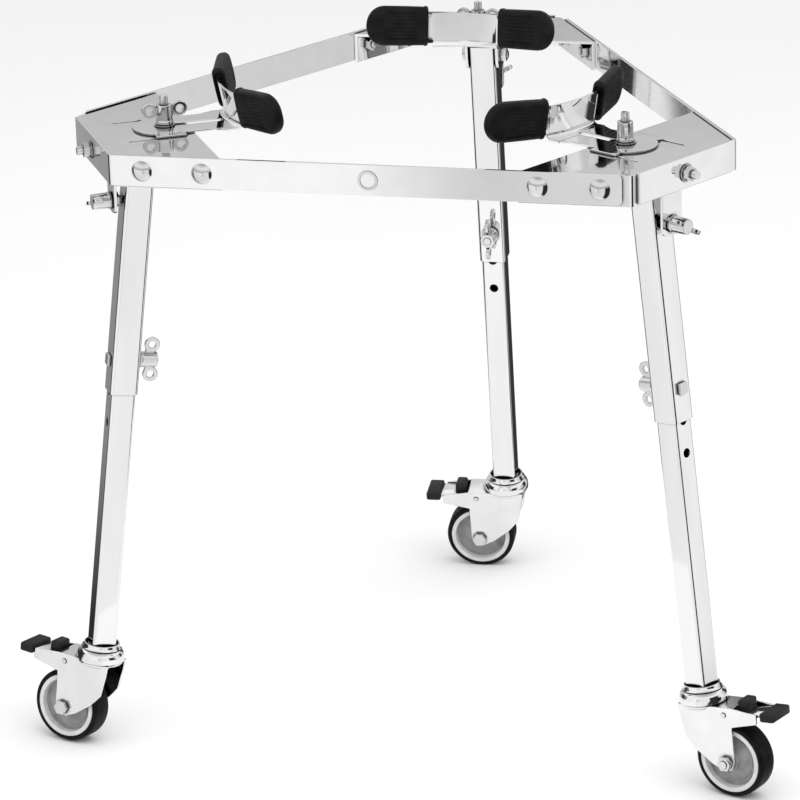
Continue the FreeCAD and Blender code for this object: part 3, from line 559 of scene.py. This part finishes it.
def cap_sizes():
    """Rows from the mouth to the tip: distance, half thickness, half height and rib share."""
    half_height = CAP_HEIGHT / 2
    half_thick = CAP_THICK / 2
    tip = half_height * TIP_SHARE
    straight = CAP_LENGTH - tip
    side_end = CAP_LENGTH - CAP_NOSE
    stations = [(y, scale, 0.0) for y, scale in CAP_MOUTH]
    stations += [(y, CAP_WAIST, 0.0) for y in CAP_BAND]
    for k in range(SIDE_ROWS + 1):
        y = CAP_SIDE + (side_end - CAP_SIDE) * k / SIDE_ROWS
        ribs = min(1.0, (y - RIB_START) / RIB_RUNOUT, (side_end - RIB_STOP - y) / RIB_RUNOUT)
        swell = CAP_SWELL * math.sin(math.pi * (y - SWELL_START) / SWELL_LENGTH)
        stations.append((y, CAP_WAIST + swell, max(0.0, ribs)))
    rows = []
    for y, scale, ribs in stations:
        over = max(0.0, y - straight) / tip
        thick = half_thick * scale * (1 - TIP_TAPER * over * over)
        rows.append((y, thick, half_height * math.sqrt(1 - over ** TIP_POWER) * scale, ribs))
    for k in range(1, NOSE_ROWS + 1):
        angle = math.pi / 2 * k / NOSE_ROWS
        y = side_end + (CAP_LENGTH - side_end) * math.sin(angle)
        over = min(1.0, max(0.0, y - straight) / tip)
        end_on = max(0.0, math.cos(angle))
        thick = half_thick * (1 - TIP_TAPER + NOSE_FLARE * end_on) * end_on ** NOSE_POWER
        height = half_height * math.sqrt(1 - over ** TIP_POWER)
        rows.append((y, max(LEAST_THICK, thick), max(LEAST_HEIGHT, height), 0.0))
    return rows


def cap_rows(side):
    """Cross-sections of a cap in its arm's frame."""
    middle = CAP_LOW + CAP_HEIGHT / 2
    placed = []
    for y, thick, height, ribs in cap_sizes():
        placed.append([(STRAP_THICK / 2 + x, side * (CAP_START + y), middle + z)
                       for x, z in cap_ring(thick, height, ribs)])
    return placed


def arm_frame(name, side):
    """At the root of a cradle's arm, which runs along +Y on side 1 and along -Y on side -1."""
    lean = turned(along(corner_frame(name), CRADLE_REACH, 0, plate_top()), "Y", CRADLE_LEAN)
    return turned(along(lean, 0, side * CRADLE_WIDTH / 2, 0), "Z", side * CRADLE_WRAP)


def rubber_caps():
    for name in CORNERS:
        for side, word in ((-1, "a"), (1, "b")):
            form = add_grid(bmesh.new(), arm_frame(name, side), cap_rows(side), closed=False)
            cap = object_of(f"rubber_cap_{name}_{word}", form, crease=50)
            finished(cap, "cradle_" + name, CAP_RUBBER, ["cradle_caps_" + name])


# Threads that show above nuts.

# How far the ridges stand out of the stud, and how far the thread reaches up past its top
# and down from it.
THREAD_PROUD = 0.18
THREAD_ABOVE = 0.2
THREAD_BELOW = 30.0


def threads():
    for name in CORNERS:
        corner = corner_frame(name)
        stud_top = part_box("cradle_studs")[1].z / MM
        stud = along(corner, STUD_REACH, 0, stud_top)
        form = add_thread(bmesh.new(), stud, STUD_RADIUS + THREAD_PROUD, -THREAD_BELOW,
                          THREAD_ABOVE)
        thread = object_of("stud_thread_" + name, form, crease=60)
        finished(thread, "frame", CHROME_FASTENER)


# Wheels. Their profiles are (radius, height) pairs, the height from the wheel's middle plane.

# The rim's raised lip: where its two rounded edges are centred, and their radius.
LIP_INNER = 28.4
LIP_OUTER = 31.6
LIP_HEIGHT = 11.4
LIP_ROUND = 0.7
SHOULDER_ROUND = 3.6


def rounded_corner(cx, cy, radius, start, stop, steps=5):
    """Points of an arc round (cx, cy), its angles in degrees."""
    angles = [math.radians(start + (stop - start) * k / steps) for k in range(steps + 1)]
    return [(cx + radius * math.cos(a), cy + radius * math.sin(a)) for a in angles]


def mirrored(face):
    """A closed profile from its half above the middle plane."""
    return face + [(r, -z) for r, z in face[::-1]]


def tyre_profile():
    """Inside of the tyre, then the side, shoulder and tread of its half above, then below."""
    upper = [(RIM_RADIUS - 0.4, 0.0), (RIM_RADIUS - 0.4, 10.4), (RIM_RADIUS + 1.6, 11.3)]
    upper += [(RIM_RADIUS + 2.2, WHEEL_HALF - 0.3)]
    upper += rounded_corner(WHEEL_RADIUS - 3.8, WHEEL_HALF - SHOULDER_ROUND, SHOULDER_ROUND,
                            88, 8)
    upper += [(WHEEL_RADIUS - 0.1, 4.0), (WHEEL_RADIUS, 0.35), (WHEEL_RADIUS - 0.25, 0.15)]
    return upper + [(r, -z) for r, z in upper[:0:-1]]


def rim_profile():
    """The pale lip round the hub, raised a little on both faces."""
    face = [(27.2, 6.0), (27.6, 10.8)]
    face += rounded_corner(LIP_INNER, LIP_HEIGHT, LIP_ROUND, 180, 90, 3)
    face += rounded_corner(LIP_OUTER, LIP_HEIGHT, LIP_ROUND, 90, 0, 3)
    face += [(32.3, 10.0), (RIM_RADIUS - 0.6, 9.6)]
    return mirrored(face)


def hub_profile():
    """The recessed web with a stepped boss."""
    face = [(4.3, 13.0), (6.4, 13.2), (9.2, 13.0), (9.8, 12.4), (10.4, 7.4), (11.6, 6.2)]
    face += [(14.0, 5.4), (21.6, 4.8), (22.2, 4.1), (25.6, 4.3), (27.4, 6.2), (27.8, 9.4)]
    return mirrored(face)


def wheels():
    for name in CORNERS:
        place = wheel_frame(name)
        body = "wheel_" + name
        tyre = object_of("tyre_" + name, add_lathe(bmesh.new(), place, tyre_profile()), crease=40)
        finished(tyre, body, TYRE_RUBBER, ["wheel_tyre_" + name])
        rim = object_of("rim_" + name, add_lathe(bmesh.new(), place, rim_profile()), crease=40)
        finished(rim, body, RIM_PLASTIC, ["wheel_hub_" + name])
        hub = object_of("hub_" + name, add_lathe(bmesh.new(), place, hub_profile()), crease=30)
        finished(hub, body, HUB_PLASTIC, ["wheel_hub_" + name])


# Caster trim.

# The pedal's tread, tab and arm, each between two corners in the caster's frame, and the first
# of the low ridges on the tread and on the tab.
TREAD = ((72.0, -16.8, -27.6), (87.8, 16.8, -18.4))
TREAD_RIDGE = ((74.0, -14.5, -18.8), (75.3, 14.5, -17.9))
TAB = ((44.2, -9.8, -24.0), (55.8, 9.8, -10.0))
TAB_RIDGE = ((46.2, -7.8, -10.6), (47.4, 7.8, -9.6))
ARM = ((31.0, -14.0, -24.0), (74.0, 14.0, -21.2))


def collar_profile():
    """The turned-up rim of a cup round the foot of its tube."""
    rim = [(16.4, -3.2), (16.4, 0.6)] + rounded_corner(17.3, 0.6, 0.9, 180, 0)
    return rim + [(18.6, -1.2), (20.4, -3.2)]


def tube_collars():
    for name in CORNERS:
        form = add_lathe(bmesh.new(), caster_frame(name), collar_profile())
        collar = object_of("cup_collar_" + name, form, crease=40)
        finished(collar, "foot_" + name, CHROME_CASTER)


def add_ridges(form, place, first, count, pitch, radius):
    """A row of equal blocks, each a pitch further along X than the one before."""
    low, high = first
    for k in range(count):
        step = pitch * k
        add_block(form, place, (low[0] + step, *low[1:]), (high[0] + step, *high[1:]), radius, 2)


def pedals():
    for name in CORNERS:
        place = caster_frame(name)
        body = "brake_" + name
        pedal = ["brake_pedal_" + name]
        form = add_block(bmesh.new(), place, *TREAD, radius=2.2)
        add_ridges(form, place, TREAD_RIDGE, count=5, pitch=2.6, radius=0.4)
        tread = object_of("pedal_tread_" + name, form)
        finished(tread, body, PEDAL_PLASTIC, pedal)
        form = add_block(bmesh.new(), place, *TAB, radius=2.4)
        add_ridges(form, place, TAB_RIDGE, count=3, pitch=2.8, radius=0.35)
        tab = object_of("pedal_tab_" + name, form)
        finished(tab, body, PEDAL_PLASTIC, pedal)
        form = add_block(bmesh.new(), place, *ARM, radius=0.8)
        arm = object_of("pedal_arm_" + name, form)
        finished(arm, body, CHROME_CASTER, pedal)


# Floor, light and camera. Sizes here are in metres and angles in degrees.

CAMERA_AZIMUTH = 13.25
CAMERA_ELEVATION = 18.75
CAMERA_ROLL = -1.55
CAMERA_DISTANCE = 4.331
CAMERA_LENS = 193.7
# The point the camera goes round, and how far right and up of the picture's middle it lies.
CAMERA_TARGET = (0, 0, 0.390)
TARGET_RIGHT = 0.0292
TARGET_UP = 0.0652
# The camera's side of the stand, as an angle from +X.
CAMERA_SIDE = CAMERA_AZIMUTH - 90.0

FLOOR_HALF = 16.0
FLOOR_SCALE = 1.3
LIGHT_TARGET = (0, 0, 0.4)
TENT_RADIUS = 1.3
TENT_HEIGHT = 0.75
CLOTH_RADIUS = 0.45
CLOTH_LIFT = 0.004
# The sky's greys from the horizon, at 0, to overhead, at 1.
SKY_GREYS = ((0.0, 0.97), (0.06, 0.92), (0.16, 0.60), (0.24, 0.46), (0.33, 0.78), (0.48, 1.0),
             (0.72, 1.0), (0.90, 0.62), (1.0, 0.50))
SKY_STRENGTH = 1.04
# How bright the tent is, by the angle round from the camera's side: the wall, and the cloth
# on the floor, which carries the same gaps but no shading in front.
TENT_BACK = ((-180, 0.80), (-160, 0.55), (-153, 0.90), (-151.6, 0.90), (-151.2, 0.03),
             (-149.9, 0.03), (-149.5, 1.0), (-144, 0.75), (-139, 0.40), (-134, 0.30),
             (-122, 0.10), (-112, 0.03), (-87, 0.03), (-82, 0.95))
TENT_SIDE = ((28, 1.0), (34, 0.03), (62, 0.03), (68, 0.70), (76, 0.97), (87, 1.0), (92, 0.76),
             (107, 0.70), (112, 0.04), (128, 0.04), (134, 0.80), (147, 0.50), (152, 0.04),
             (164, 0.04), (171, 0.70))
WALL_GREYS = TENT_BACK + ((-26, 1.1), (-19, 0.72), (0, 0.95)) + TENT_SIDE
CLOTH_GREYS = TENT_BACK + ((-26, 1.0),) + TENT_SIDE


def tent_band(name, low, high, greys):
    """A round band between two (radius, height) pairs that only shiny surfaces see."""
    form = bmesh.new()
    below, above = [[form.verts.new(point) for point in circle(*edge)] for edge in (low, high)]
    for i in range(LATHE_STEPS):
        j = (i + 1) % LATHE_STEPS
        form.faces.new((below[i], below[j], above[j], above[i]))
    mesh = bpy.data.meshes.new(name)
    form.to_mesh(mesh)
    form.free()
    obj = linked(name, mesh)
    obj.rotation_euler.z = math.radians(CAMERA_SIDE)
    obj.visible_camera = False
    obj.visible_diffuse = False
    obj.visible_shadow = False
    mesh.materials.append(glowing(name + "_glow", greys))


def glowing(name, greys):
    """An even glow, its brightness set by the angle round the object's own Z."""
    material = bpy.data.materials.new(name)
    material.use_nodes = True
    tree = material.node_tree
    tree.nodes.clear()
    where = add_node(tree, "ShaderNodeTexCoord")
    angle = add_node(tree, "ShaderNodeTexGradient", gradient_type="RADIAL")
    ramp = add_node(tree, "ShaderNodeValToRGB")
    glow = add_node(tree, "ShaderNodeEmission")
    out = add_node(tree, "ShaderNodeOutputMaterial")
    fill_ramp(ramp, [(degrees / 360 + 0.5, grey) for degrees, grey in greys])
    tree.links.new(where.outputs["Object"], angle.inputs["Vector"])
    tree.links.new(angle.outputs["Fac"], ramp.inputs["Fac"])
    tree.links.new(ramp.outputs["Color"], glow.inputs["Color"])
    tree.links.new(glow.outputs["Emission"], out.inputs["Surface"])
    return material


def fill_ramp(ramp, greys):
    """Gives a colour ramp these greys, each a (position, grey) pair, in rising order."""
    stops = ramp.color_ramp.elements
    while len(stops) > 1:
        stops.remove(stops[-1])
    for k, (position, grey) in enumerate(greys):
        stop = stops.new(position) if k else stops[0]
        stop.position = position
        stop.color = (grey, grey, grey, 1)


def floor():
    mesh = bpy.data.meshes.new("floor")
    corners = [(x * FLOOR_HALF, y * FLOOR_HALF, 0) for x, y in ((-1, -1), (1, -1), (1, 1), (-1, 1))]
    mesh.from_pydata(corners, [], [(0, 1, 2, 3)])
    obj = linked("floor", mesh)
    material, tree, bsdf = shader("pale_floor")
    soft = noise_of(tree, FLOOR_SCALE, 2.0)
    tree.links.new(blended(tree, soft, (0.93, 0.93, 0.93), (0.95, 0.95, 0.95)),
                   bsdf.inputs["Base Color"])
    bsdf.inputs["Roughness"].default_value = 0.9
    bsdf.inputs["Specular IOR Level"].default_value = 0.1
    obj.data.materials.append(material)


def area_light(name, size, power, place):
    light = bpy.data.lights.new(name, "AREA")
    light.shape = "SQUARE"
    light.size = size
    light.energy = power
    obj = linked(name, light)
    obj.location = place
    obj.visible_glossy = False
    obj.rotation_mode = "QUATERNION"
    obj.rotation_quaternion = (Vector(LIGHT_TARGET) - Vector(place)).to_track_quat("-Z", "Y")


def sky():
    """A white tent: bright all round and overhead, with a grey belt just over the horizon."""
    world = bpy.data.worlds.new("tent")
    bpy.context.scene.world = world
    world.use_nodes = True
    tree = world.node_tree
    where = add_node(tree, "ShaderNodeTexCoord")
    parts = add_node(tree, "ShaderNodeSeparateXYZ")
    tree.links.new(where.outputs["Generated"], parts.inputs["Vector"])
    ramp = add_node(tree, "ShaderNodeValToRGB")
    fill_ramp(ramp, SKY_GREYS)
    tree.links.new(parts.outputs["Z"], ramp.inputs["Fac"])
    background = tree.nodes["Background"]
    background.inputs["Strength"].default_value = SKY_STRENGTH
    tree.links.new(ramp.outputs["Color"], background.inputs["Color"])


def camera():
    azimuth = math.radians(CAMERA_AZIMUTH)
    elevation = math.radians(CAMERA_ELEVATION)
    roll = math.radians(CAMERA_ROLL)
    back = Vector((math.sin(azimuth) * math.cos(elevation),
                   -math.cos(azimuth) * math.cos(elevation), math.sin(elevation)))
    right = Vector((math.cos(azimuth), math.sin(azimuth), 0.0))
    up = back.cross(right)
    right, up = (right * math.cos(roll) + up * math.sin(roll),
                 up * math.cos(roll) - right * math.sin(roll))
    middle = Vector(CAMERA_TARGET)
    data = bpy.data.cameras.new("camera")
    data.sensor_width = 36.0
    data.lens = CAMERA_LENS
    data.clip_start = 0.1
    data.clip_end = 60.0
    obj = linked("camera", data)
    obj.location = middle + back * CAMERA_DISTANCE
    aim = middle - right * TARGET_RIGHT - up * TARGET_UP
    towards = (obj.location - aim).normalized()
    side = (right - towards * towards.dot(right)).normalized()
    facing = Matrix((side, towards.cross(side), towards)).transposed()
    obj.rotation_mode = "QUATERNION"
    obj.rotation_quaternion = facing.to_quaternion()
    bpy.context.scene.camera = obj


def stage():
    bpy.context.scene.view_settings.view_transform = "Standard"
    floor()
    sky()
    foot = (TENT_RADIUS, CLOTH_LIFT)
    tent_band("tent_wall", foot, (TENT_RADIUS, TENT_HEIGHT), WALL_GREYS)
    tent_band("tent_cloth", (CLOTH_RADIUS, CLOTH_LIFT), foot, CLOTH_GREYS)
    area_light("soft_top", size=3.0, power=52.0, place=(0.6, -0.8, 3.2))
    area_light("soft_left", size=2.2, power=9.0, place=(-3.0, -2.2, 2.2))
    camera()


metal_pieces()
rubber_caps()
threads()
wheels()
tube_collars()
pedals()
stage()
